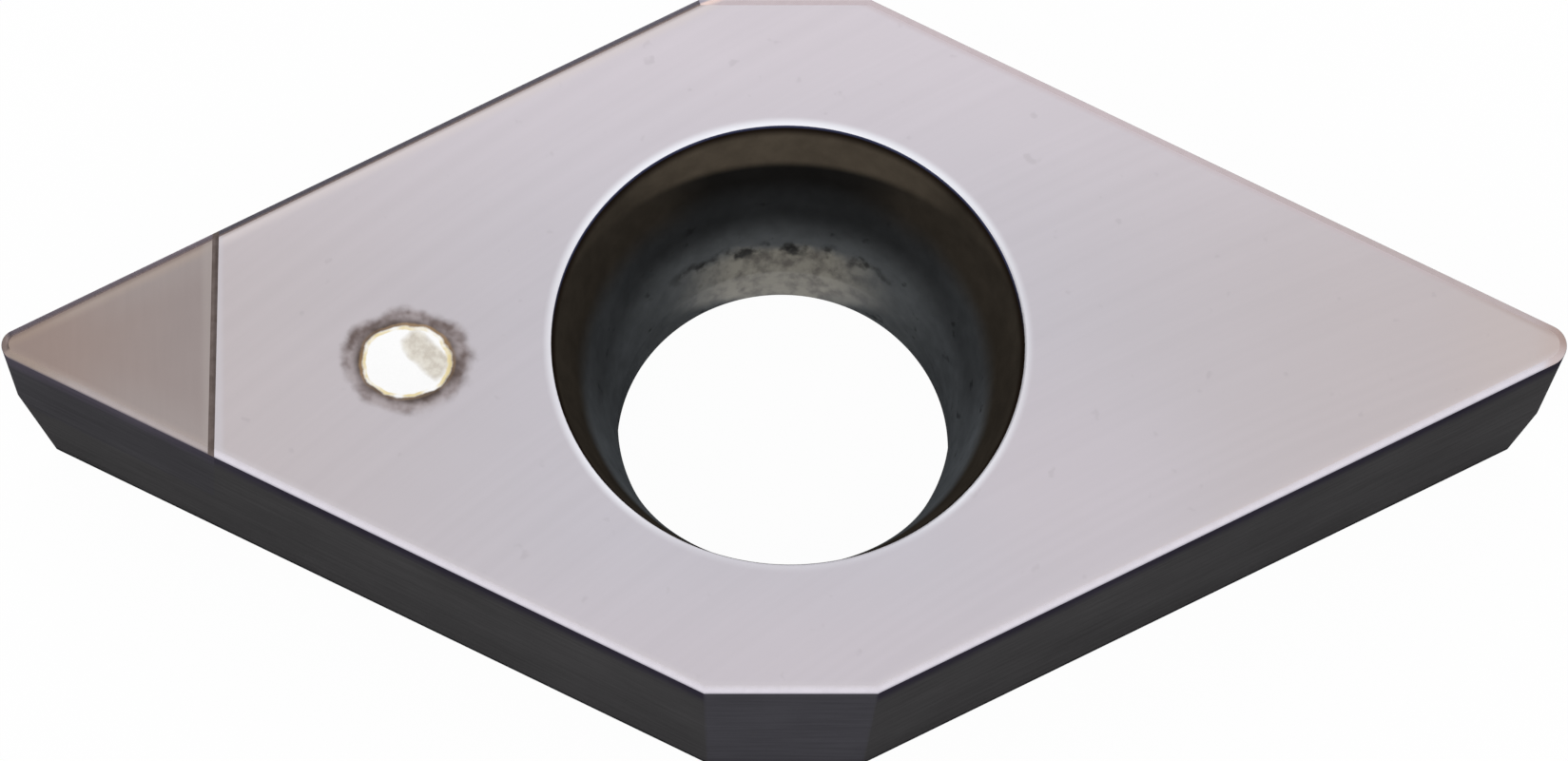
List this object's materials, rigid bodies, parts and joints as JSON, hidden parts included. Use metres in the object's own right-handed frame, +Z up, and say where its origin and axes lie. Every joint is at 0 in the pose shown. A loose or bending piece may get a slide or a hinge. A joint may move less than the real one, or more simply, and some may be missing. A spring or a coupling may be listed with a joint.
{
  "type": "cbn turning insert",
  "caption": "Flat rhombic turning insert with leaning flanks, a countersunk screw hole, blunt corners ground flat and a brazed boron nitride tip at one sharp corner.",
  "frame": {"origin": "centre of the screw hole on the seat face", "axes": "+X towards the corner that doesn't cut, along the long diagonal; +Z up through the screw hole, from the seat face to the rake face"},
  "size_m": [0.0133, 0.0064, 0.0024],
  "materials": {
    "coated_carbide": "fine ground and thinly coated, satin",
    "backing_carbide": "dark ground",
    "boron_nitride": "fine ground",
    "braze": "dull, tarnished"
  },
  "bodies": {
    "root": {"carbide_body": "coated_carbide", "tip_backing": "backing_carbide", "cbn_layer": "boron_nitride", "braze_film": "braze"}
  },
  "joints": []
}
